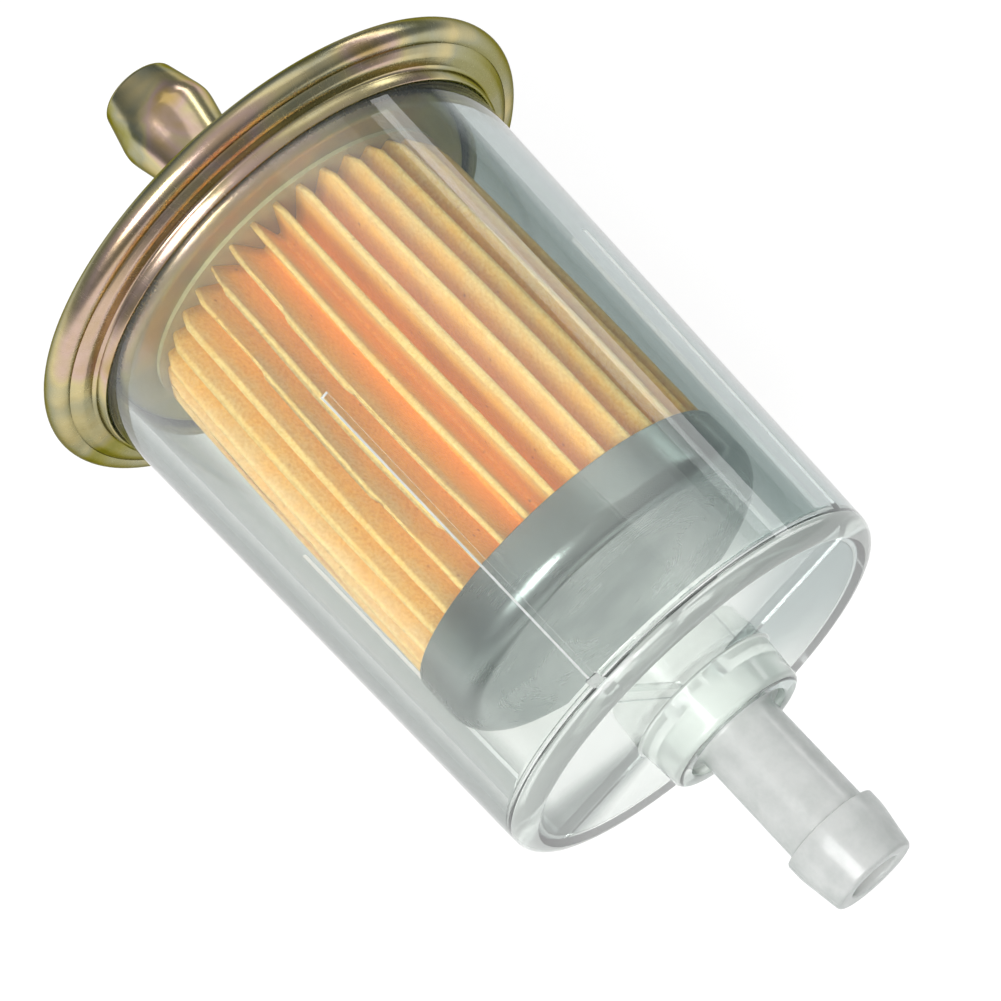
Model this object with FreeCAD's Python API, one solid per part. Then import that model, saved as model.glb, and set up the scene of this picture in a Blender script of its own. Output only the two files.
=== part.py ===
import FreeCAD, Part
import math
import os

# In-line fuel filter: a moulded clear bowl with a hose barb at one end, closed at the other
# end by a pressed steel cover that is crimped over the bowl's flange. A pleated paper element
# stands on the cover; fuel comes in at the barb, goes in through the paper and leaves by the
# steel nipple. All lengths are in millimetres.
#
# Frame: the filter's axis is X. +X points out of the inlet barb, -X out of the outlet nipple,
# +Z is up. The origin is on the axis, half way between the two hose ends. Stations along the
# axis are worked out from the crimp plane, where the rim's bead is widest.

Vec = FreeCAD.Vector

# ---- filter element: the size that the rest is built round ----------------------------------
pleats = 38
pleat_tip_r = 16.7
pleat_root_r = 10.6
paper = 0.35
cover_glue = 0.4
cap_fit = 0.1               # radial gap between the pleats and the end cap's skirt
cap_sheet = 0.4
cap_depth = 5.8
cap_round = 1.8
cap_glue = 1.2
tube_clear = 0.4            # radial gap between the paper's inner folds and the tube
tube_wall = 0.4
tube_hole_r = 1.5
tube_rows = 6
tube_holes = 8
clip_gap = 0.02
clip_sheet = 0.3
clip_reach = 3.2            # how far the clip's legs run down the pleat
clip_end_gap = 1.0

# ---- clear bowl ----------------------------------------------------------------------------
bowl_reach = 57.4           # crimp plane to the bowl's outer end face
flow_gap = 1.15             # round the end cap, at the bowl's closed end
cap_floor_gap = 8.7         # end cap to the bowl's floor
bowl_draft = 2.25           # the wall's outside is this much wider at the flange
bowl_mouth_wall = 2.2
bowl_end_wall = 1.95
bowl_floor = 2.3
bowl_outer_round = 1.6
bowl_inner_round = 0.6
flange_thick = 1.55
flange_land = 1.85          # flange beyond the wall
collar_wall = 1.68          # round the barb's foot
collar_draft = 0.35
collar_height = 4.5
collar_round = 0.6
rib_count = 4
rib_turn = 34.4             # first rib, from +Z towards -Y, in degrees
floor_rib_wide = 1.2
floor_rib_high = 0.8
floor_rib_clear = 2.0       # from the bore to the rib's inner end
wall_rib_wide = 0.5
wall_rib_high = 0.3
wall_rib_long = 34.1        # up the wall from the floor

# ---- inlet barb ----------------------------------------------------------------------------
barb_reach = 21.4           # bowl's end face to the tip of the barb
stem_r = 3.97
stem_root_round = 0.7
barb_high = 0.73            # barb above the stem
barb_land = 1.5
barb_nose = 4.1
barb_taper = 0.65
barb_tip_round = 0.25
barb_bore_r = 2.4
foot_step = 1.28            # foot beyond the stem
barb_foot_thick = 2.6
barb_foot_sunk = 0.7        # foot's face below the collar's end
weld_gap = 0.02             # radial gap between the foot and its socket

# ---- steel cover ---------------------------------------------------------------------------
sheet = 0.5
bead_r = 1.25               # outer radius of the rolled bead's section
valley_turn = 40.0          # how far past its top the bead runs before the band, in degrees
band_edge = 0.45            # from the valley to the flat band
flange_fit = 0.1            # radial gap between the flange and the band's edge
lip_fit = 0.05              # radial gap between the lip and the bowl
lip_high = 1.2              # lip above the flat band
gasket_thick = 0.5
plug_fit = 0.3              # radial gap between the cover's dished plug and the bowl
plug_depth = 3.2            # crimp plane to the dished face inside
plug_round = 1.1

# ---- outlet nipple -------------------------------------------------------------------------
nipple_reach = 22.3         # crimp plane to the tip of the nipple
neck_r = 4.08
nipple_wall = 1.08
bulge_high = 0.8            # bulge above the neck
bulge_land = 0.8
bulge_to_tip = 4.8          # middle of the bulge's land to the tip
bulge_back = 3.2            # length of the flare from neck to bulge
nose_taper = 1.08
nose_round = 0.5
stake_step = 1.12           # staked collar beyond the neck
stake_thick = 0.6
braze_leg = 1.2

# ---- radii worked out from the element outwards --------------------------------------------
cap_r = pleat_tip_r + cap_fit + cap_sheet
end_bore_r = cap_r + flow_gap
bowl_end_r = end_bore_r + bowl_end_wall
bowl_mouth_r = bowl_end_r + bowl_draft
mouth_bore_r = bowl_mouth_r - bowl_mouth_wall
flange_r = bowl_mouth_r + flange_land
band_r = flange_r + flange_fit
rim_r = band_r + band_edge + bead_r * (1 + math.sin(math.radians(valley_turn)))
lip_r = bowl_mouth_r + lip_fit + sheet
plug_r = mouth_bore_r - plug_fit
foot_r = stem_r + foot_step
socket_r = foot_r + weld_gap
collar_end_r = socket_r + collar_wall
collar_root_r = collar_end_r + collar_draft
barb_r = stem_r + barb_high
bulge_r = neck_r + bulge_high
nipple_bore_r = neck_r - nipple_wall

# ---- angles of the pleats, and what stands inside them -------------------------------------
pleat_step = math.pi / pleats
pleat_half = math.atan2(pleat_root_r * math.sin(pleat_step),
                        pleat_tip_r - pleat_root_r * math.cos(pleat_step))
fold_r = pleat_root_r - paper / math.sin(pleat_half + pleat_step)
tube_r = fold_r - tube_clear

# ---- stations along the axis ---------------------------------------------------------------
length = nipple_reach + bowl_reach + barb_reach
crimp_x = nipple_reach - length / 2
end_face_x = crimp_x + bowl_reach
floor_x = end_face_x - bowl_floor
collar_end_x = end_face_x + collar_height
barb_tip_x = end_face_x + barb_reach
nipple_tip_x = crimp_x - nipple_reach
rim_back_x = crimp_x - bead_r
flange_back_x = rim_back_x + sheet + gasket_thick
flange_front_x = flange_back_x + flange_thick
band_x = flange_front_x + sheet
plug_x = crimp_x + plug_depth
foot_face_x = collar_end_x - barb_foot_sunk
foot_seat_x = foot_face_x - barb_foot_thick
cap_end_x = floor_x - cap_floor_gap
skirt_x = cap_end_x - cap_depth
paper_start_x = plug_x + cover_glue
paper_end_x = cap_end_x - cap_sheet - cap_glue


def revolve(edges):
    """A closed outline of (x, radius) edges in the XY plane, turned about the X axis."""
    wire = Part.Wire(Part.__sortEdges__(edges))
    return Part.Face(wire).revolve(Vec(0, 0, 0), Vec(1, 0, 0), 360)


def outline(points):
    """Straight edges round the points; a point may carry a radius that rounds its corner."""
    corners = [(Vec(p[0], p[1], 0), p[2] if len(p) > 2 else 0.0) for p in points]
    starts, ends, arcs = [], [], []
    for i, (corner, radius) in enumerate(corners):
        before = (corners[i - 1][0] - corner).normalize()
        after = (corners[(i + 1) % len(corners)][0] - corner).normalize()
        if radius == 0.0:
            starts.append(corner)
            ends.append(corner)
            continue
        half = before.getAngle(after) / 2
        reach = radius / math.tan(half)
        middle = (before + after).normalize()
        centre = corner + middle * (radius / math.sin(half))
        first, last = corner + before * reach, corner + after * reach
        starts.append(first)
        ends.append(last)
        arcs.append(Part.Arc(first, centre - middle * radius, last).toShape())
    edges = list(arcs)
    for i, end in enumerate(ends):
        start = starts[(i + 1) % len(starts)]
        if (start - end).Length > 1e-6:
            edges.append(Part.LineSegment(end, start).toShape())
    return edges


def ring(x0, x1, r_in, r_out):
    return revolve(outline([(x0, r_in), (x0, r_out), (x1, r_out), (x1, r_in)]))


def turned(shape, degrees):
    copy = shape.copy()
    copy.rotate(Vec(0, 0, 0), Vec(1, 0, 0), degrees)
    return copy


def clear_bowl():
    shell = revolve(outline([
        (flange_back_x, mouth_bore_r), (flange_back_x, flange_r), (flange_front_x, flange_r),
        (flange_front_x, bowl_mouth_r), (end_face_x, bowl_end_r, bowl_outer_round),
        (end_face_x, collar_root_r), (collar_end_x, collar_end_r, collar_round),
        (collar_end_x, socket_r), (foot_seat_x, socket_r),
        (foot_seat_x, barb_bore_r), (floor_x, barb_bore_r), (floor_x, end_bore_r, bowl_inner_round)]))
    return shell.fuse(bowl_ribs()).removeSplitter()


def bowl_ribs():
    """Thin ribs inside the bowl: across the floor and up part of the wall."""
    draft = (mouth_bore_r - end_bore_r) / (floor_x - flange_back_x)
    top_x = floor_x - wall_rib_long
    top_r = end_bore_r + draft * (floor_x - top_x)
    sunk = 0.5 * min(bowl_end_wall, bowl_floor)
    ribs = []
    for i in range(rib_count):
        start_r = barb_bore_r + floor_rib_clear
        floor = Part.makeBox(floor_rib_high + sunk, floor_rib_wide, end_bore_r + sunk / 2 - start_r,
                             Vec(floor_x - floor_rib_high, -floor_rib_wide / 2, start_r))
        side = Part.Face(Part.Wire(Part.makePolygon([
            Vec(top_x, 0, top_r + sunk), Vec(top_x, 0, top_r - wall_rib_high),
            Vec(floor_x + sunk, 0, end_bore_r - wall_rib_high), Vec(floor_x + sunk, 0, end_bore_r + sunk / 2),
            Vec(top_x, 0, top_r + sunk)])))
        side.translate(Vec(0, -wall_rib_wide / 2, 0))
        wall = side.extrude(Vec(0, wall_rib_wide, 0))
        ribs.append(turned(floor.fuse(wall), rib_turn + i * 360 / rib_count))
    return ribs


def inlet_barb():
    land_end_x = barb_tip_x - barb_nose
    ridge_x = land_end_x - barb_land
    return revolve(outline([
        (foot_seat_x, barb_bore_r), (foot_seat_x, foot_r), (foot_face_x, foot_r),
        (foot_face_x, stem_r, stem_root_round), (ridge_x, stem_r), (ridge_x, barb_r),
        (land_end_x, barb_r), (barb_tip_x, barb_r - barb_taper, barb_tip_round), (barb_tip_x, barb_bore_r)]))


def steel_cover():
    """Pressed sheet: dished plug, flat rim, rolled bead, flat crimped band and turned-up lip."""
    bead_c = Vec(crimp_x, rim_r - bead_r, 0)
    turn = math.radians(valley_turn)

    def on_bead(radius, angle):
        return bead_c + Vec(radius * math.cos(angle), radius * math.sin(angle), 0)

    inner_r = bead_r - sheet
    back, side, valley = math.pi, math.pi / 2, -turn
    outer_bead = Part.Arc(on_bead(bead_r, back), on_bead(bead_r, side), on_bead(bead_r, valley)).toShape()
    inner_bead = Part.Arc(on_bead(inner_r, back), on_bead(inner_r, side), on_bead(inner_r, valley)).toShape()
    out_valley, in_valley = on_bead(bead_r, valley), on_bead(inner_r, valley)
    outer = [out_valley, Vec(band_x, band_r, 0), Vec(band_x, lip_r, 0), Vec(band_x + lip_high, lip_r, 0),
             Vec(band_x + lip_high, lip_r - sheet, 0), Vec(flange_front_x, lip_r - sheet, 0),
             Vec(flange_front_x, band_r, 0), in_valley]
    rim_inner_x = rim_back_x + sheet
    back_run = [on_bead(inner_r, back), Vec(rim_inner_x, plug_r, 0), Vec(plug_x, plug_r, 0),
                Vec(plug_x, neck_r, 0), Vec(plug_x - sheet, neck_r, 0),
                Vec(plug_x - sheet, plug_r - sheet, 0), Vec(rim_back_x, plug_r - sheet, 0),
                on_bead(bead_r, back)]
    edges = [outer_bead, inner_bead]
    for run in (outer, back_run):
        edges += [Part.LineSegment(a, b).toShape() for a, b in zip(run, run[1:])]
    cover = revolve(edges)
    corner = [e for e in cover.Edges if is_circle_at(e, plug_x, plug_r)]
    inside = [e for e in cover.Edges if is_circle_at(e, plug_x - sheet, plug_r - sheet)]
    return cover.makeFillet(plug_round, corner).makeFillet(plug_round - sheet, inside)


def is_circle_at(edge, x, r):
    curve = edge.Curve
    return (curve.TypeId == "Part::GeomCircle" and abs(curve.Radius - r) < 1e-4
            and abs(curve.Center.x - x) < 1e-4)


def rim_gasket():
    return ring(rim_back_x + sheet, flange_back_x, mouth_bore_r, flange_r)


def outlet_nipple():
    bulge_x = nipple_tip_x + bulge_to_tip
    front_x, rear_x = bulge_x - bulge_land / 2, bulge_x + bulge_land / 2
    stake_x = plug_x + stake_thick
    return revolve(outline([
        (nipple_tip_x, nipple_bore_r), (nipple_tip_x, bulge_r - nose_taper, nose_round), (front_x, bulge_r),
        (rear_x, bulge_r), (rear_x + bulge_back, neck_r), (plug_x, neck_r),
        (plug_x, neck_r + stake_step), (stake_x, neck_r + stake_step), (stake_x, nipple_bore_r)]))


def nipple_braze():
    root_x = plug_x - sheet
    return revolve(outline([(root_x, neck_r), (root_x, neck_r + braze_leg), (root_x - braze_leg, neck_r)]))


def pleat_ring(tip_r, root_r):
    points = []
    for i in range(2 * pleats):
        r = tip_r if i % 2 == 0 else root_r
        points.append(Vec(0, r * math.sin(i * pleat_step), r * math.cos(i * pleat_step)))
    return Part.Face(Part.Wire(Part.makePolygon(points + points[:1])))


def pleated_paper():
    outer = pleat_ring(pleat_tip_r, pleat_root_r)
    inner = pleat_ring(pleat_tip_r - paper / math.sin(pleat_half), fold_r)
    face = outer.cut(inner)
    face.translate(Vec(paper_start_x, 0, 0))
    return face.extrude(Vec(paper_end_x - paper_start_x, 0, 0))


def seam_clip():
    """Folded strip over the pleat where the paper's two ends meet, at the element's underside."""
    x0 = paper_start_x + clip_end_gap
    x1 = skirt_x - clip_end_gap
    leg_r = pleat_tip_r - clip_reach
    inner_nose = pleat_tip_r + clip_gap / math.sin(pleat_half)
    outer_nose = pleat_tip_r + (clip_gap + clip_sheet) / math.sin(pleat_half)
    flat_r = inner_nose + clip_sheet

    def half_width(nose, r):
        return (nose - r) * math.tan(pleat_half)

    side = [(half_width(outer_nose, flat_r), flat_r), (half_width(outer_nose, leg_r), leg_r),
            (half_width(inner_nose, leg_r), leg_r), (0, inner_nose)]
    points = side + [(-y, r) for y, r in side[-2::-1]]
    wire = Part.makePolygon([Vec(x0, y, -r) for y, r in points + points[:1]])
    return Part.Face(Part.Wire(wire)).extrude(Vec(x1 - x0, 0, 0))


def centre_tube():
    tube = ring(paper_start_x, paper_end_x, tube_r - tube_wall, tube_r)
    run = paper_end_x - paper_start_x
    drills = []
    for row in range(tube_rows):
        x = paper_start_x + run * (row + 0.5) / tube_rows
        for k in range(tube_holes):
            angle = (k + 0.5 * (row % 2)) * 360 / tube_holes
            drill = Part.makeCylinder(tube_hole_r, 2 * tube_r, Vec(x, 0, 0), Vec(0, 0, 1))
            drills.append(turned(drill, angle))
    return tube.cut(drills)


def end_cap():
    return revolve(outline([
        (skirt_x, cap_r), (cap_end_x, cap_r, cap_round), (cap_end_x, 0.0), (cap_end_x - cap_sheet, 0.0),
        (cap_end_x - cap_sheet, cap_r - cap_sheet, cap_round - cap_sheet), (skirt_x, cap_r - cap_sheet)]))


def cap_glue_disc():
    return ring(paper_end_x, cap_end_x - cap_sheet, 0.0, cap_r - cap_sheet - cap_round)


def cover_glue_ring():
    return ring(plug_x, paper_start_x, tube_r - tube_wall, pleat_tip_r)


NODES = {
    "clear_bowl": clear_bowl, "inlet_barb": inlet_barb, "steel_cover": steel_cover,
    "rim_gasket": rim_gasket, "outlet_nipple": outlet_nipple, "nipple_braze": nipple_braze,
    "pleated_paper": pleated_paper, "seam_clip": seam_clip, "centre_tube": centre_tube,
    "end_cap": end_cap, "cap_glue": cap_glue_disc, "cover_glue": cover_glue_ring,
}


def main():
    os.makedirs("parts", exist_ok=True)
    for name, make in NODES.items():
        shape = make()
        print(name, "solids", len(shape.Solids), "valid", shape.isValid(), "volume", round(shape.Volume, 1))
        shape.exportStep(os.path.join("parts", name + ".step"))


main()
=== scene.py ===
import math
import random

import bmesh
import bpy
from mathutils import Matrix, Vector, noise

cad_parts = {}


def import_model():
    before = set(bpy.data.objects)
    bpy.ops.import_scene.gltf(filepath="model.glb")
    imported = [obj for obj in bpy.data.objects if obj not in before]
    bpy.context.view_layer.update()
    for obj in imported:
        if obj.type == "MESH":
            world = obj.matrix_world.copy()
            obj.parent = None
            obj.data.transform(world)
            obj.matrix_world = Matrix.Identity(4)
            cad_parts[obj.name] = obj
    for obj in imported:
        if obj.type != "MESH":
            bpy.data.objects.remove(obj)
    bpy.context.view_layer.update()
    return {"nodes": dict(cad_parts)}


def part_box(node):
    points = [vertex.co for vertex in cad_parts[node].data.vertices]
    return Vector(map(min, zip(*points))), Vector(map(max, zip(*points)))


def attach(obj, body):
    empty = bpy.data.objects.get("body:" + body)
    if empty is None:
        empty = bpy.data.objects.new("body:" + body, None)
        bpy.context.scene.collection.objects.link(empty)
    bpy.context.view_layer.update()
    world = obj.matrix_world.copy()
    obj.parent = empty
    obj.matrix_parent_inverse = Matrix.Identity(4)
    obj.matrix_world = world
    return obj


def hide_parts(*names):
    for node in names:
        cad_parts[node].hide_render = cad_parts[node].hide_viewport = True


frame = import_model()

MM = 0.001
AROUND = 160                    # steps in a full turn of a lathe-turned piece

# Stations along the axis, in millimetres from the origin, read off the frame.
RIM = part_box("clear_bowl")[0].x / MM + 0.25             # the crimp plane, where the bead is widest
END_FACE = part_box("clear_bowl")[1].x / MM - 4.5         # the bowl's outer end face
FLOOR = END_FACE - 2.3                                  # the bowl's floor, inside
SEAT = END_FACE + 1.2                                   # where the barb's foot sits in the collar
BARB_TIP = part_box("inlet_barb")[1].x / MM
NIPPLE_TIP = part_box("outlet_nipple")[0].x / MM
CAP_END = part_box("end_cap")[1].x / MM
PAPER_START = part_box("pleated_paper")[0].x / MM
PAPER_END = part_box("pleated_paper")[1].x / MM
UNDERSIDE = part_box("steel_cover")[0].z

BARB_BORE_R = 2.4
DISH_R = 19.5                   # where the cover's flat face turns down into the dish
GLASS_WAVE = 0.006              # how deep the moulded plastic's waves are, in millimetres
RIB_TURN = 34.4                 # the first rib, in degrees from +Z towards -Y


# ---- shapes --------------------------------------------------------------------------------

def spun(outline, closed=True, around=AROUND, rounding=6):
    """A mesh turned about the X axis. Points are (x, radius), and a third number rounds a corner."""
    bm = bmesh.new()
    verts = [bm.verts.new((p[0], 0.0, p[1])) for p in outline]
    for i in range(len(verts) if closed else len(verts) - 1):
        bm.edges.new((verts[i], verts[(i + 1) % len(verts)]))
    for vert, point in zip(verts, outline):
        if len(point) > 2:
            bmesh.ops.bevel(bm, geom=[vert], offset=point[2], offset_type="OFFSET", segments=rounding,
                            profile=0.5, affect="VERTICES", material=-1)
    bmesh.ops.spin(bm, geom=bm.verts[:] + bm.edges[:], cent=(0, 0, 0), axis=(1, 0, 0),
                   angle=math.tau, steps=around, use_merge=True)
    bmesh.ops.remove_doubles(bm, verts=bm.verts[:], dist=1e-4)
    bmesh.ops.recalc_face_normals(bm, faces=bm.faces[:])
    return bm


def finished(name, bm, materials, node, wall=0.0, soft=False):
    """Makes the piece, in metres, with its materials, and hides the CAD node it stands in for."""
    bmesh.ops.scale(bm, vec=(MM, MM, MM), verts=bm.verts[:])
    mesh = bpy.data.meshes.new(name)
    bm.to_mesh(mesh)
    bm.free()
    for material in materials:
        mesh.materials.append(material)
    mesh.shade_smooth()
    if not soft:
        mesh.set_sharp_from_angle(angle=math.radians(38))
    piece = bpy.data.objects.new(name, mesh)
    bpy.context.scene.collection.objects.link(piece)
    if wall:
        thick = piece.modifiers.new("sheet", "SOLIDIFY")
        thick.thickness, thick.offset = wall * MM, -1.0
        thick.use_even_offset = not soft
    if not soft:
        even = piece.modifiers.new("even_normals", "WEIGHTED_NORMAL")
        even.keep_sharp = True
    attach(piece, "root")
    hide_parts(node)
    return piece


def floor_ribs():
    """Thin ribs across the bowl's floor, from near the bore to the wall."""
    bm = bmesh.new()
    for i in range(4):
        made = bmesh.ops.create_cube(bm, size=1.0)["verts"]
        bmesh.ops.scale(bm, vec=(1.3, 1.2, 14.5), verts=made)
        bmesh.ops.translate(bm, vec=(FLOOR - 0.15, 0, 11.65), verts=made)
        bmesh.ops.rotate(bm, cent=(0, 0, 0), matrix=Matrix.Rotation(math.radians(RIB_TURN + 90 * i), 3, "X"),
                         verts=made)
    return bm


def wall_ribs(bm):
    """Presses four thin ribs out of the bowl's inner wall, in line with the floor's ribs; their sloped
    borders carry painted highlight lines.
    """
    step, rib_edge_highlight = 360 / AROUND, 1
    bmesh.ops.rotate(bm, cent=(0, 0, 0), verts=bm.verts[:],
                     matrix=Matrix.Rotation(math.radians((RIB_TURN + step / 2) % step), 3, "X"))
    chosen = []
    for face in bm.faces:
        middle = face.calc_center_median()
        inner = 18.0 < math.hypot(middle.y, middle.z) < 19.6 and FLOOR - 30 < middle.x < FLOOR - 5
        turn = math.degrees(math.atan2(-middle.y, middle.z)) - RIB_TURN
        if inner and abs((turn + 45) % 90 - 45) < step / 4:
            chosen.append(face)
    # the sloped border faces take the pale rib-edge plastic: painted highlight lines along each rib
    for face in bmesh.ops.inset_individual(bm, faces=chosen, thickness=0.16)["faces"]:
        face.material_index = rib_edge_highlight
    for vert in {v for face in chosen for v in face.verts}:
        radius = math.hypot(vert.co.y, vert.co.z)
        vert.co.y *= 1 - 0.4 / radius
        vert.co.z *= 1 - 0.4 / radius


def joined(base, extra):
    """The union of two closed meshes."""
    parts = []
    for bm in (base, extra):
        mesh = bpy.data.meshes.new("part")
        bm.to_mesh(mesh)
        bm.free()
        parts.append(bpy.data.objects.new("part", mesh))
        bpy.context.scene.collection.objects.link(parts[-1])
    join = parts[0].modifiers.new("join", "BOOLEAN")
    join.operation, join.solver, join.object, join.use_self = "UNION", "EXACT", parts[1], True
    whole = bmesh.new()
    whole.from_object(parts[0], bpy.context.evaluated_depsgraph_get())
    for part in parts:
        mesh = part.data
        bpy.data.objects.remove(part)
        bpy.data.meshes.remove(mesh)
    return whole


def clear_bowl():
    """Flange, drafted wall, rounded end, collar and floor; thick plastic where the end turns in."""
    thick_plastic = 2
    shell = spun([
        (RIM - 0.25, 20.35, 0.15), (RIM - 0.25, 24.4, 0.15), (RIM + 1.3, 24.4, 0.15),
        (RIM + 1.3, 22.55), (END_FACE, 20.3, 1.6), (END_FACE, 7.3, 0.25),
        (END_FACE + 4.5, 6.95, 0.6), (END_FACE + 4.5, 5.27, 0.2), (SEAT, 5.27),
        (SEAT, BARB_BORE_R), (FLOOR, BARB_BORE_R, 0.2), (FLOOR, 18.35, 0.7), (FLOOR - 34.1, 19.58)])
    for face in shell.faces:
        middle = face.calc_center_median()
        radius = math.hypot(middle.y, middle.z)
        if middle.x > END_FACE - 1.7 and radius > 18.6 or middle.x > END_FACE and radius > 6.6:
            face.material_index = thick_plastic
    wall_ribs(shell)
    return joined(shell, floor_ribs())


def inlet_barb():
    """Stem, barb and foot, with a fine parting line down two sides."""
    face, land_end = END_FACE + 3.8, BARB_TIP - 4.1
    bm = spun([
        (SEAT, BARB_BORE_R), (SEAT, 5.25), (face, 5.25, 0.2), (face, 3.97, 0.7),
        (land_end - 1.5, 3.97, 0.15), (land_end - 1.5, 4.7, 0.12), (land_end, 4.7, 0.5),
        (BARB_TIP, 4.05, 0.3), (BARB_TIP, BARB_BORE_R, 0.3)], around=144)
    for vert in bm.verts:
        radius = math.hypot(vert.co.y, vert.co.z)
        if vert.co.x > face + 0.8 and radius > 3.5 and abs(vert.co.z) < 0.02:
            vert.co.y *= 1 + 0.05 / radius
    return bm


def steel_cover():
    """The outside of the pressed sheet: lip, crimped band, rolled bead, rim and dished plug."""
    bead_at, bead_r = 25.75, 1.25
    turns = [math.radians(a) for a in range(-20, 181, 10)]
    bead = [(RIM + bead_r * math.cos(a), bead_at + bead_r * math.sin(a)) for a in turns]
    return spun([
        (RIM + 3.0, 22.95, 0.1), (RIM + 1.8, 23.1, 0.3), (RIM + 1.78, 24.5, 0.3), (RIM + 1.3, 25.2, 0.1),
        *bead, (RIM - bead_r, DISH_R + 0.05, 0.5), (RIM + 2.7, 19.35, 0.7), (RIM + 2.7, 4.08)], closed=False)


def outlet_nipple():
    """A steel tube with a hose bead at its end and a shoulder behind the cover."""
    return spun([
        (NIPPLE_TIP, 3.0, 0.25), (NIPPLE_TIP, 3.8, 0.5), (RIM - 17.9, 4.88, 0.5), (RIM - 17.1, 4.88, 0.9),
        (RIM - 13.5, 4.08, 1.2), (RIM + 3.2, 4.08), (RIM + 3.2, 5.2, 0.15), (RIM + 3.8, 5.2, 0.15),
        (RIM + 3.8, 3.0)], around=128)


def nipple_braze():
    """The brazed fillet round the nipple, outside the cover."""
    return spun([(RIM + 2.7, 4.08), (RIM + 2.7, 5.28), (RIM + 2.35, 4.45, 0.35), (RIM + 1.5, 4.08)],
                around=96)


def end_cap():
    """A shallow cup over the closed end of the paper."""
    skirt = CAP_END - 5.8
    return spun([
        (skirt, 17.2, 0.12), (CAP_END, 17.2, 2.0), (CAP_END, 0.0), (CAP_END - 0.4, 0.0),
        (CAP_END - 0.4, 16.8, 1.7), (skirt, 16.8, 0.12)])


PLEATS, ROWS = 38, 26
TIP_R, ROOT_R, PAPER_WALL = 16.7, 10.6, 0.25


def fold_line():
    """Half a pleat from its tip to its root, as (angle, radius) points on rounded folds."""
    step = math.pi / PLEATS
    tip_round, root_round = 0.3, 0.22
    tip = Vector((0.0, TIP_R - tip_round))
    root = Vector((math.sin(step), math.cos(step))) * (ROOT_R + root_round)
    gap = root - tip
    lean = math.asin((tip_round + root_round) / gap.length)
    turn = math.pi / 2 - lean
    along = Matrix.Rotation(turn, 2) @ gap.normalized()
    if along.x < 0:
        along = Matrix.Rotation(-turn, 2) @ gap.normalized()
    out = math.atan2(along.x, along.y)
    points = []
    for i in range(6):
        a = out * i / 5
        points.append(tip + tip_round * Vector((math.sin(a), math.cos(a))))
    points.append((points[-1] * 0.5 + (root - root_round * along) * 0.5))
    for i in range(4):
        a = step + math.pi + (out - step) * (3 - i) / 3
        points.append(root + root_round * Vector((math.sin(a), math.cos(a))))
    return [(math.atan2(p.x, p.y), p.length) for p in points]


def pleated_paper():
    """A tube of folded paper: each pleat leans and waves a little between its glued ends."""
    half = fold_line()
    fold = half + [(2 * math.pi / PLEATS - a, r) for a, r in half[-2:0:-1]]
    count = PLEATS * len(fold)
    bm = bmesh.new()
    bmesh.ops.create_circle(bm, cap_ends=False, segments=count, radius=10.0)
    bmesh.ops.rotate(bm, cent=(0, 0, 0), matrix=Matrix.Rotation(math.pi / 2, 3, "Y"), verts=bm.verts[:])
    bmesh.ops.translate(bm, vec=(PAPER_START, 0, 0), verts=bm.verts[:])
    reach = PAPER_END - PAPER_START
    bmesh.ops.spin(bm, geom=bm.verts[:] + bm.edges[:], cent=(0, 0, 0), axis=(1, 0, 0), angle=0.0,
                   dvec=(reach / ROWS, 0, 0), steps=ROWS, use_merge=False)
    draw = random.Random(11)
    tilt = [draw.uniform(-1, 1) for _ in range(PLEATS)]
    depth = [draw.uniform(-1, 1) for _ in range(PLEATS)]
    for vert in bm.verts:
        place = round(math.atan2(vert.co.y, vert.co.z) / math.tau * count) % count
        pleat, i = divmod(place, len(fold))
        angle, radius = fold[i]
        t = (vert.co.x - PAPER_START) / reach
        free = math.sin(math.pi * min(1.0, max(0.0, t)))
        whole = math.tau * pleat / PLEATS
        up = (radius - ROOT_R) / (TIP_R - ROOT_R)
        at = pleat + (1 if i > len(fold) / 2 else 0)
        drift = noise.noise(Vector((1.6 * math.cos(whole), 1.6 * math.sin(whole), 1.1 * t)))
        angle += whole + up * (0.3 + 0.7 * free) * (0.012 * tilt[at % PLEATS] + 0.06 * drift)
        radius += up * free * (0.2 + 0.14 * depth[at % PLEATS])
        radius -= up * 0.8 * max(0.0, 1 - (vert.co.x - PAPER_START) / 2.2) ** 2
        vert.co.y, vert.co.z = radius * math.sin(angle), radius * math.cos(angle)
    bmesh.ops.recalc_face_normals(bm, faces=bm.faces[:])
    return bm


# ---- finishes ------------------------------------------------------------------------------

def put(tree, kind, inputs=None, **settings):
    """Adds a shader node with its settings, and sets or links its inputs."""
    made = tree.nodes.new("ShaderNode" + kind)
    for key, value in settings.items():
        setattr(made, key, value)
    for key, value in (inputs or {}).items():
        if isinstance(value, bpy.types.NodeSocket):
            tree.links.new(value, made.inputs[key])
        else:
            made.inputs[key].default_value = value
    return made


def ramp(tree, factor, stops):
    """A colour ramp over the factor from (place, colour) stops."""
    made = put(tree, "ValToRGB", {"Fac": factor})
    bands = made.color_ramp.elements
    while len(bands) < len(stops):
        bands.new(0.5)
    for band, (place, colour) in zip(bands, stops):
        band.position = place
        band.color = (*colour, 1.0)
    return made.outputs["Color"]


def sums(tree, operation, *values, clamp=False):
    """A Math node on sockets or plain numbers."""
    made = put(tree, "Math", operation=operation, use_clamp=clamp)
    for socket, value in zip(made.inputs, values):
        if isinstance(value, bpy.types.NodeSocket):
            tree.links.new(value, socket)
        else:
            socket.default_value = value
    return made.outputs[0]


def spread(tree, value, low, high, start=0.0, end=1.0):
    """The value carried from start..end to low..high, and held at both ends."""
    made = put(tree, "MapRange", {"Value": value, "From Min": start, "From Max": end,
                                  "To Min": low, "To Max": high})
    return made.outputs["Result"]


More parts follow.
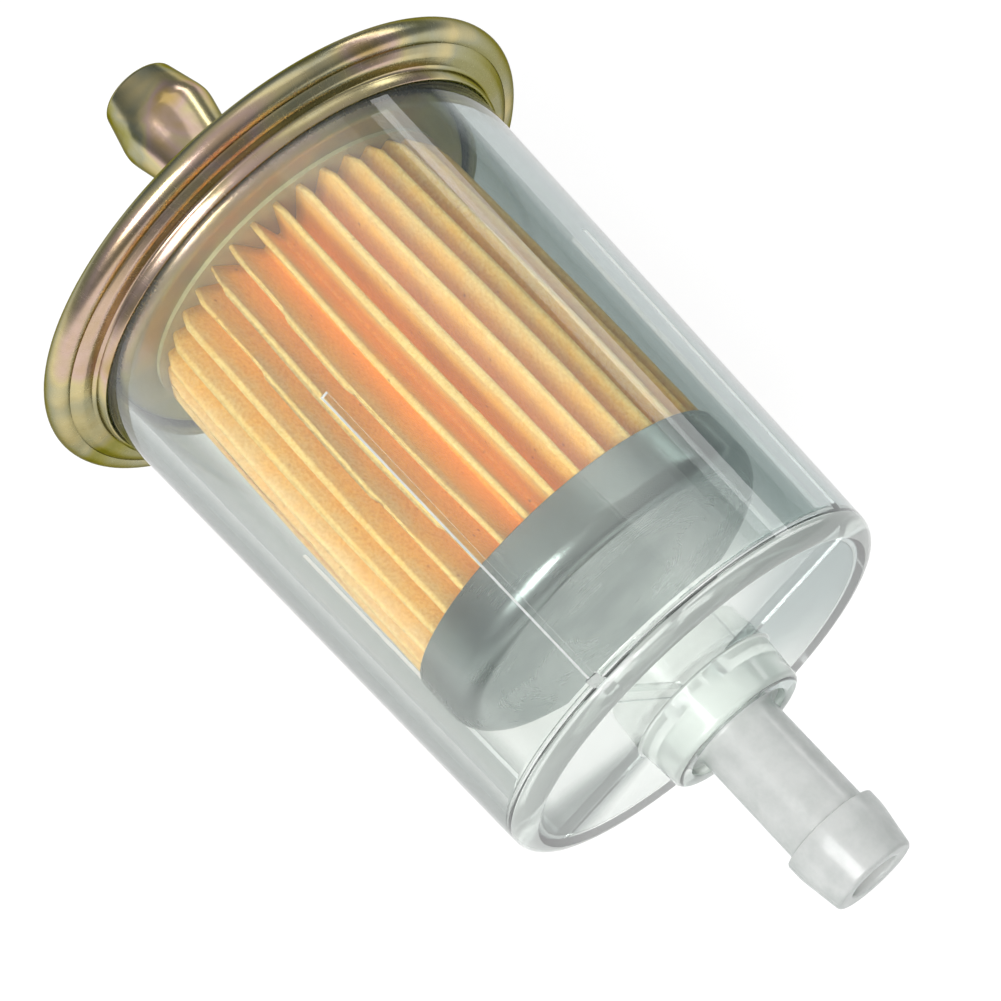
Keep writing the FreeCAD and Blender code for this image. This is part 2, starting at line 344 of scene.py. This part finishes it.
def group(name, inputs, outputs):
    """An empty node group with named sockets; gives its tree and its input and output nodes."""
    tree = bpy.data.node_groups.new(name, "ShaderNodeTree")
    for key, value in inputs.items():
        socket = tree.interface.new_socket(key, in_out="INPUT", socket_type="NodeSocketFloat")
        socket.default_value = value
    for key, kind in outputs.items():
        tree.interface.new_socket(key, in_out="OUTPUT", socket_type="NodeSocket" + kind)
    return tree, tree.nodes.new("NodeGroupInput").outputs, tree.nodes.new("NodeGroupOutput").inputs


def placed(tree, what, **values):
    made = tree.nodes.new("ShaderNodeGroup")
    made.node_tree = what
    for key, value in values.items():
        made.inputs[key].default_value = value
    return made.outputs


def axis_parts(tree):
    """Object coordinates in millimetres: the point, X, the radius and the direction out from the axis."""
    point = put(tree, "VectorMath", {0: put(tree, "TexCoord").outputs["Object"], "Scale": 1000.0},
                operation="SCALE").outputs[0]
    across = put(tree, "VectorMath", {0: point, 1: (0.0, 1.0, 1.0)}, operation="MULTIPLY").outputs[0]
    radius = put(tree, "VectorMath", {0: across}, operation="LENGTH").outputs["Value"]
    out = put(tree, "VectorMath", {0: across}, operation="NORMALIZE").outputs[0]
    return point, put(tree, "SeparateXYZ", {0: point}).outputs["X"], radius, out


def speckle_group():
    """Blotches, grain and fine scratches that any finish may use."""
    tree, given, out = group("wear", {"Blotch Size": 6.0, "Grain Size": 0.4, "Scratch Size": 1.0},
                             {"Blotch": "Float", "Grain": "Float", "Scratch": "Float"})
    point = axis_parts(tree)[0]

    def grown(size, detail, stretch=(1.0, 1.0, 1.0)):
        moved = put(tree, "Mapping", {"Vector": point, "Scale": stretch}).outputs[0]
        scale = sums(tree, "DIVIDE", 1.0, size)
        return put(tree, "TexNoise", {"Vector": moved, "Scale": scale, "Detail": detail,
                                      "Roughness": 0.6}).outputs[0]

    tree.links.new(grown(given["Blotch Size"], 3.0), out["Blotch"])
    tree.links.new(grown(given["Grain Size"], 2.0), out["Grain"])
    streak = grown(given["Scratch Size"], 4.0, (0.25, 2.6, 1.1))
    off_middle = sums(tree, "ABSOLUTE", sums(tree, "SUBTRACT", streak, 0.5))
    thin = sums(tree, "MULTIPLY", off_middle, 14.0, clamp=True)
    tree.links.new(sums(tree, "SUBTRACT", 1.0, thin), out["Scratch"])
    return tree


def lathe_group():
    """Fine lines left by pressing and turning: rings round the axis and streaks out from it."""
    tree, given, out = group("press_lines", {"Ring Size": 0.15, "Streaks": 40.0},
                             {"Rings": "Float", "Radial": "Float"})
    _, x, radius, outwards = axis_parts(tree)
    flat = put(tree, "CombineXYZ", {"X": x, "Y": radius}).outputs[0]
    rings = put(tree, "TexNoise", {"Vector": flat, "Scale": sums(tree, "DIVIDE", 1.0, given["Ring Size"]),
                                   "Detail": 2.0}).outputs[0]
    around = put(tree, "VectorMath", {0: outwards, "Scale": given["Streaks"]}, operation="SCALE").outputs[0]
    slow = put(tree, "VectorMath", {0: flat, "Scale": 0.25}, operation="SCALE").outputs[0]
    both = put(tree, "VectorMath", {0: around, 1: slow}, operation="ADD").outputs[0]
    radial = put(tree, "TexNoise", {"Vector": both, "Scale": 1.0, "Detail": 3.0}).outputs[0]
    tree.links.new(rings, out["Rings"])
    tree.links.new(radial, out["Radial"])
    return tree


def chromate_and_sheen_group():
    """Yellow chromate's film colour: gold, olive, pink and pale bands that drift over the metal, with painted
    sheen that turns with the way the surface faces.
    """
    tree, given, out = group("chromate", {"Drift": 0.0, "Patch Size": 9.0}, {"Color": "Color"})
    point = axis_parts(tree)[0]
    patch = put(tree, "TexNoise", {"Vector": point, "Scale": sums(tree, "DIVIDE", 1.0, given["Patch Size"]),
                                   "Detail": 2.0, "Roughness": 0.45, "Distortion": 0.6}).outputs[0]
    # painted sheen: the film colour turns with the way the surface faces one fixed direction, paler cream and
    # pink towards it and dark olive away from it
    sheen_facing = put(tree, "VectorMath", {0: put(tree, "NewGeometry").outputs["Normal"], 1: (0.45, -0.2, 0.55)},
                 operation="DOT_PRODUCT").outputs["Value"]
    film_and_sheen = sums(tree, "ADD", spread(tree, patch, 0.27, 0.63, 0.2, 0.8), sums(tree, "MULTIPLY", sheen_facing, 0.28))
    film_and_sheen = sums(tree, "ADD", film_and_sheen, given["Drift"], clamp=True)
    colour = ramp(tree, film_and_sheen, [
        (0.0, (0.07, 0.08, 0.03)), (0.2, (0.19, 0.21, 0.08)), (0.36, (0.37, 0.35, 0.14)),
        (0.45, (0.43, 0.42, 0.29)), (0.52, (0.66, 0.56, 0.30)), (0.58, (0.64, 0.46, 0.38)),
        (0.65, (0.54, 0.38, 0.15)), (0.8, (0.44, 0.33, 0.10)), (1.0, (0.28, 0.27, 0.12))])
    tree.links.new(colour, out["Color"])
    return tree


WEAR, PRESS_LINES, CHROMATE_AND_SHEEN = speckle_group(), lathe_group(), chromate_and_sheen_group()


def finish(name, metallic=0.0, **constants):
    """A material with a Principled shader; constants set its own sockets."""
    material = bpy.data.materials.new(name)
    material.use_nodes = True
    shader = material.node_tree.nodes["Principled BSDF"]
    shader.inputs["Metallic"].default_value = metallic
    for key, value in constants.items():
        shader.inputs[key.replace("_", " ")].default_value = value
    return material, material.node_tree, shader.inputs


def worn(tree, blotch, grain, scratch=1.0):
    """The wear group's outputs; the sizes are in millimetres."""
    return placed(tree, WEAR, **{"Blotch Size": blotch, "Grain Size": grain, "Scratch Size": scratch})


def relief(tree, inputs, height, depth, strength):
    """Bump from a height; depth is in millimetres."""
    bump = put(tree, "Bump", {"Height": height, "Distance": depth * MM, "Strength": strength})
    tree.links.new(bump.outputs[0], inputs["Normal"])


def mixed(tree, factor, first, second, blend="MIX"):
    """A colour between the first and the second."""
    made = put(tree, "Mix", data_type="RGBA", blend_type=blend)
    for socket, value in ((made.inputs[0], factor), (made.inputs[6], first), (made.inputs[7], second)):
        if isinstance(value, bpy.types.NodeSocket):
            tree.links.new(value, socket)
        else:
            socket.default_value = value if isinstance(value, float) else (*value, 1.0)
    return made.outputs[2]


def chromated(name, drift, patch, rough, dish=0.0):
    """Yellow-chromated steel; dish makes it duller and more even inside the cover's dish."""
    material, tree, inputs = finish(name, metallic=1.0, Specular_Tint=(0.30, 0.28, 0.17, 1.0))
    film_and_sheen = placed(tree, CHROMATE_AND_SHEEN, **{"Drift": drift, "Patch Size": patch})
    wear = worn(tree, 5.0, 0.25, 0.8)
    lines = placed(tree, PRESS_LINES, **{"Ring Size": 0.12, "Streaks": 60.0})
    dull = mixed(tree, spread(tree, wear["Blotch"], 0.0, 0.4, 0.5, 0.75), film_and_sheen["Color"], (0.38, 0.30, 0.13))
    radius = axis_parts(tree)[2]
    inside = spread(tree, radius, 2.7 * dish, 0.0, DISH_R - 0.3, DISH_R + 0.3)
    dull = mixed(tree, inside, dull, (0.43, 0.40, 0.17))
    scored = mixed(tree, spread(tree, wear["Scratch"], 0.0, 0.1, 0.7, 1.0), dull, (0.80, 0.74, 0.60))
    tree.links.new(scored, inputs["Base Color"])
    rough_now = sums(tree, "ADD", spread(tree, lines["Radial"], rough - 0.02, rough + 0.03, 0.3, 0.7),
                     spread(tree, wear["Grain"], -0.02, 0.04))
    rough_now = sums(tree, "ADD", rough_now, spread(tree, radius, dish, 0.0, DISH_R - 0.3, DISH_R + 0.3))
    tree.links.new(rough_now, inputs["Roughness"])
    height = sums(tree, "ADD", lines["Rings"], sums(tree, "MULTIPLY", lines["Radial"], 0.3))
    relief(tree, inputs, sums(tree, "ADD", height, wear["Grain"]), 0.004, 0.5)
    return material


def brushed_metal(name, colour, dark, rough, blotch):
    """Bare metal with faint turning lines, blotched between two colours."""
    material, tree, inputs = finish(name, metallic=1.0)
    wear = worn(tree, blotch, 0.3)
    lines = placed(tree, PRESS_LINES, **{"Ring Size": 0.2, "Streaks": 30.0})
    base = mixed(tree, spread(tree, wear["Blotch"], 0.0, 1.0, 0.35, 0.7), colour, dark)
    tree.links.new(base, inputs["Base Color"])
    tree.links.new(sums(tree, "ADD", spread(tree, wear["Blotch"], rough - 0.05, rough + 0.08, 0.3, 0.7),
                        spread(tree, lines["Rings"], -0.04, 0.04)), inputs["Roughness"])
    relief(tree, inputs, sums(tree, "ADD", lines["Rings"], wear["Grain"]), 0.002, 0.4)
    return material


def glassy(name, tint, rough, transmission, painted_side_shade=None):
    """See-through moulded plastic. Lamps reach what is behind it. When given a side shade colour, its +Y
    side, a band along its -Y edge and its grazing edges are painted darker.
    """
    material, tree, inputs = finish(name, IOR=1.5, Transmission_Weight=transmission)
    wear = worn(tree, 9.0, 1.6)
    colour = mixed(tree, spread(tree, wear["Blotch"], 0.0, 1.0, 0.3, 0.7), tint,
                   tuple(c * 0.985 for c in tint))
    if painted_side_shade:
        # painted shade: the plastic's +Y side is painted towards a darker colour
        side = put(tree, "VectorMath", {0: axis_parts(tree)[3], 1: (0.0, 0.956, 0.292)},
                   operation="DOT_PRODUCT").outputs["Value"]
        colour = mixed(tree, spread(tree, side, 0.0, 1.0, 0.35, 0.95), colour, painted_side_shade)
        # painted shade: a dark band is painted along the wall's -Y edge
        colour = mixed(tree, spread(tree, side, 0.0, 1.0, -0.86, -0.97), colour, (0.25, 0.29, 0.27))
        # painted shade: grazing edges are painted darker, standing in for dark outlines
        grazing_shade = put(tree, "LayerWeight", {"Blend": 0.5}).outputs["Facing"]
        colour = mixed(tree, spread(tree, grazing_shade, 0.0, 1.0, 0.84, 1.0), colour, (0.22, 0.26, 0.26))
    tree.links.new(colour, inputs["Base Color"])
    tree.links.new(spread(tree, wear["Blotch"], rough, rough + 0.01, 0.3, 0.7), inputs["Roughness"])
    relief(tree, inputs, wear["Blotch"], GLASS_WAVE, 1.0)
    shader = tree.nodes["Principled BSDF"]
    clear = put(tree, "BsdfTransparent", {"Color": (0.97, 0.98, 0.975, 1.0)})
    lamp = put(tree, "LightPath").outputs["Is Shadow Ray"]
    both = put(tree, "MixShader", {0: lamp, 1: shader.outputs[0], 2: clear.outputs[0]})
    tree.links.new(both.outputs[0], tree.nodes["Material Output"].inputs["Surface"])
    return material


def frosted(name, tint, shade):
    """Milky moulded plastic: cloudy and with a fine grain, with painted shade on its edges."""
    material, tree, inputs = finish(name, IOR=1.49, Transmission_Weight=0.35, Coat_Weight=0.3,
                                    Coat_Roughness=0.12)
    wear = worn(tree, 2.6, 0.5)
    # painted shade: edges turned away from the view are painted darker, which leaves a paler painted
    # highlight down the middle
    grazing_shade = put(tree, "LayerWeight", {"Blend": 0.5}).outputs["Facing"]
    cloud_and_edge_shade = sums(tree, "ADD", spread(tree, wear["Blotch"], 0.0, 0.3, 0.4, 0.7),
                 spread(tree, grazing_shade, 0.0, 0.9, 0.3, 0.95))
    cloud_and_edge_shade = sums(tree, "ADD", cloud_and_edge_shade, spread(tree, wear["Grain"], -0.04, 0.06, 0.35, 0.65), clamp=True)
    tree.links.new(mixed(tree, cloud_and_edge_shade, tint, shade), inputs["Base Color"])
    tree.links.new(spread(tree, wear["Blotch"], 0.28, 0.36, 0.35, 0.65), inputs["Roughness"])
    relief(tree, inputs, wear["Grain"], 0.002, 0.3)
    return material


def paper_finish():
    """Resin-soaked filter paper with flecks, its colour painted by depth: cream at the lit tips of the folds,
    amber down in the pleats for shade and the light that comes through the paper.

    A little amber glow down in the pleats stands in for the light that comes through the paper.
    """
    material, tree, inputs = finish("filter_paper", Roughness=0.85, Specular_IOR_Level=0.15,
                                    Emission_Strength=0.16)
    point, _, radius, _ = axis_parts(tree)
    wear = worn(tree, 3.5, 0.3)
    depth = sums(tree, "ADD", radius, spread(tree, wear["Blotch"], -0.9, 0.9, 0.3, 0.7))
    # painted light and shade: the colour runs from amber deep in the pleats to cream at the tips
    colour = ramp(tree, spread(tree, depth, 0.0, 1.0, 10.4, 16.8), [
        (0.0, (0.97, 0.58, 0.07)), (0.35, (0.93, 0.55, 0.08)), (0.75, (0.87, 0.53, 0.11)),
        (1.0, (0.82, 0.60, 0.22))])
    colour = mixed(tree, spread(tree, wear["Grain"], 0.0, 0.8, 0.38, 0.66), colour, (0.84, 0.72, 0.52),
                   "MULTIPLY")
    fleck = put(tree, "TexVoronoi", {"Vector": point, "Scale": 0.45}).outputs["Distance"]
    colour = mixed(tree, spread(tree, fleck, 0.7, 0.0, 0.02, 0.10), colour, (0.30, 0.13, 0.04))
    tree.links.new(colour, inputs["Base Color"])
    through = spread(tree, depth, 1.0, 0.0, 11.0, 16.9)
    tree.links.new(mixed(tree, through, (0.0, 0.0, 0.0), (1.0, 0.42, 0.03)), inputs["Emission Color"])
    fibre = sums(tree, "ADD", wear["Grain"], sums(tree, "MULTIPLY", wear["Blotch"], 0.6))
    relief(tree, inputs, fibre, 0.05, 0.7)
    return material


def glue_finish(name, colour):
    """Set glue, a little uneven in colour and height."""
    material, tree, inputs = finish(name, Roughness=0.4)
    wear = worn(tree, 1.2, 0.3)
    tree.links.new(mixed(tree, spread(tree, wear["Blotch"], 0.0, 1.0, 0.35, 0.7), colour,
                         tuple(c * 0.85 for c in colour)), inputs["Base Color"])
    relief(tree, inputs, wear["Blotch"], 0.05, 0.6)
    return material


def rubber_finish():
    """Black fuel-proof rubber."""
    material, tree, inputs = finish("gasket_rubber", Roughness=0.6)
    wear = worn(tree, 2.0, 0.2)
    tree.links.new(mixed(tree, wear["Blotch"], (0.02, 0.02, 0.021), (0.05, 0.05, 0.05)), inputs["Base Color"])
    relief(tree, inputs, wear["Grain"], 0.02, 0.5)
    return material


COVER_STEEL = chromated("yellow_zinc_steel", -0.08, 14.0, 0.24, dish=0.22)
NIPPLE_STEEL = chromated("nipple_steel", -0.08, 6.0, 0.18)
CAP_METAL = brushed_metal("cap_metal", (0.34, 0.38, 0.365), (0.24, 0.28, 0.275), 0.26, 11.0)
TIN_PLATE = brushed_metal("tin_plate", (0.68, 0.68, 0.66), (0.52, 0.53, 0.53), 0.32, 4.0)
BRAZE = brushed_metal("braze_metal", (0.72, 0.52, 0.24), (0.50, 0.36, 0.18), 0.3, 1.5)
CLEAR = glassy("clear_plastic", (0.905, 0.93, 0.905), 0.01, 0.95, painted_side_shade=(0.46, 0.525, 0.515))
THICK = glassy("thick_plastic", (0.88, 0.935, 0.885), 0.08, 0.55)
# pale, almost opaque plastic for the ribs' borders: painted highlight lines
RIB_EDGE_HIGHLIGHT = glassy("rib_edge_highlight", (0.97, 0.98, 0.98), 0.15, 0.1)
FROSTED = frosted("frosted_plastic", (0.87, 0.885, 0.865), (0.50, 0.55, 0.52))
PAPER = paper_finish()
GLUE = glue_finish("element_glue", (0.42, 0.37, 0.18))
RUBBER = rubber_finish()

finished("bowl", clear_bowl(), [CLEAR, RIB_EDGE_HIGHLIGHT, THICK], "clear_bowl")
finished("barb", inlet_barb(), [FROSTED], "inlet_barb")
finished("cover", steel_cover(), [COVER_STEEL], "steel_cover", wall=0.5)
finished("nipple", outlet_nipple(), [NIPPLE_STEEL], "outlet_nipple")
finished("braze_fillet", nipple_braze(), [BRAZE], "nipple_braze")
finished("cap", end_cap(), [CAP_METAL], "end_cap")
finished("pleats", pleated_paper(), [PAPER], "pleated_paper", wall=PAPER_WALL, soft=True)

for node, material in (("rim_gasket", RUBBER), ("seam_clip", TIN_PLATE), ("centre_tube", TIN_PLATE),
                       ("cap_glue", GLUE), ("cover_glue", GLUE)):
    for slot in frame["nodes"][node].material_slots:
        slot.material = material


# ---- floor, light and camera ---------------------------------------------------------------

def floor():
    """A wide pale floor with a painted pool of light: it glows bright under the filter and greyer further
    off.
    """
    bm = bmesh.new()
    bmesh.ops.create_grid(bm, x_segments=1, y_segments=1, size=3.0)
    bmesh.ops.translate(bm, vec=(0, 0, UNDERSIDE - 0.0005), verts=bm.verts[:])
    mesh = bpy.data.meshes.new("floor")
    bm.to_mesh(mesh)
    bm.free()
    material, tree, inputs = finish("pale_floor", Roughness=0.9)
    place = put(tree, "TexCoord").outputs["Object"]
    away = put(tree, "VectorMath", {0: place}, operation="LENGTH").outputs["Value"]
    # painted light: the floor is brightest in a pool round the middle and greyer further off
    painted_light_pool = put(tree, "MapRange", {"Value": away, "From Min": 0.14, "From Max": 0.36,
                                  "To Min": 1.0, "To Max": 0.0},
               interpolation_type="SMOOTHSTEP").outputs["Result"]
    shade = mixed(tree, painted_light_pool, (0.05, 0.05, 0.05), (0.24, 0.24, 0.24))
    tree.links.new(shade, inputs["Base Color"])
    tree.links.new(mixed(tree, painted_light_pool, (0.18, 0.20, 0.21), (1.0, 1.0, 1.0)), inputs["Emission Color"])
    # painted light: the floor glows, most of all in the pool, which lifts the filter's shadow
    inputs["Emission Strength"].default_value = 0.84
    mesh.materials.append(material)
    piece = bpy.data.objects.new("floor", mesh)
    bpy.context.scene.collection.objects.link(piece)


def aimed(thing, place, target):
    thing.location = place
    thing.rotation_euler = (Vector(place) - Vector(target)).to_track_quat("Z", "Y").to_euler()
    bpy.context.scene.collection.objects.link(thing)


def around(azimuth, elevation, distance):
    """A place round the object: azimuth 0 is on the -Y side, and grows towards +X."""
    a, e = math.radians(azimuth), math.radians(elevation)
    return Vector((math.sin(a) * math.cos(e), -math.cos(a) * math.cos(e), math.sin(e))) * distance


def softbox(name, azimuth, elevation, distance, size, power):
    data = bpy.data.lights.new(name, "AREA")
    data.shape, data.size, data.size_y = "RECTANGLE", size[0], size[1]
    data.energy = power
    aimed(bpy.data.objects.new(name, data), around(azimuth, elevation, distance), (0, 0, 0))


def world():
    sky = bpy.data.worlds.new("studio")
    sky.use_nodes = True
    tree = sky.node_tree
    height = put(tree, "SeparateXYZ", {0: put(tree, "TexCoord").outputs["Generated"]}).outputs["Z"]
    colour = ramp(tree, height, [(0.0, (0.30, 0.33, 0.35)), (0.25, (0.38, 0.41, 0.43)),
                                 (0.6, (0.75, 0.76, 0.77)), (1.0, (0.95, 0.95, 0.95))])
    tree.links.new(colour, tree.nodes["Background"].inputs["Color"])
    tree.nodes["Background"].inputs["Strength"].default_value = 0.55
    bpy.context.scene.world = sky


def camera():
    data = bpy.data.cameras.new("camera")
    data.lens, data.sensor_width = 115.1, 36.0
    data.clip_start, data.clip_end = 0.01, 20.0
    target = Vector((0.0045, -0.0020, 0.0020))
    thing = bpy.data.objects.new("camera", data)
    aimed(thing, target + around(49.73, 64.74, 0.280), target)
    bpy.context.scene.camera = thing


floor()
world()
softbox("key", 20, 48, 0.6, (0.30, 0.30), 2.4)
softbox("side", 200, 22, 0.6, (0.5, 0.10), 0.5)
softbox("back", -145, 58, 0.7, (0.6, 0.4), 0.45)
camera()
bpy.context.scene.view_settings.view_transform = "Standard"
bpy.context.scene.cycles.max_bounces = 24
bpy.context.scene.cycles.transmission_bounces = 24
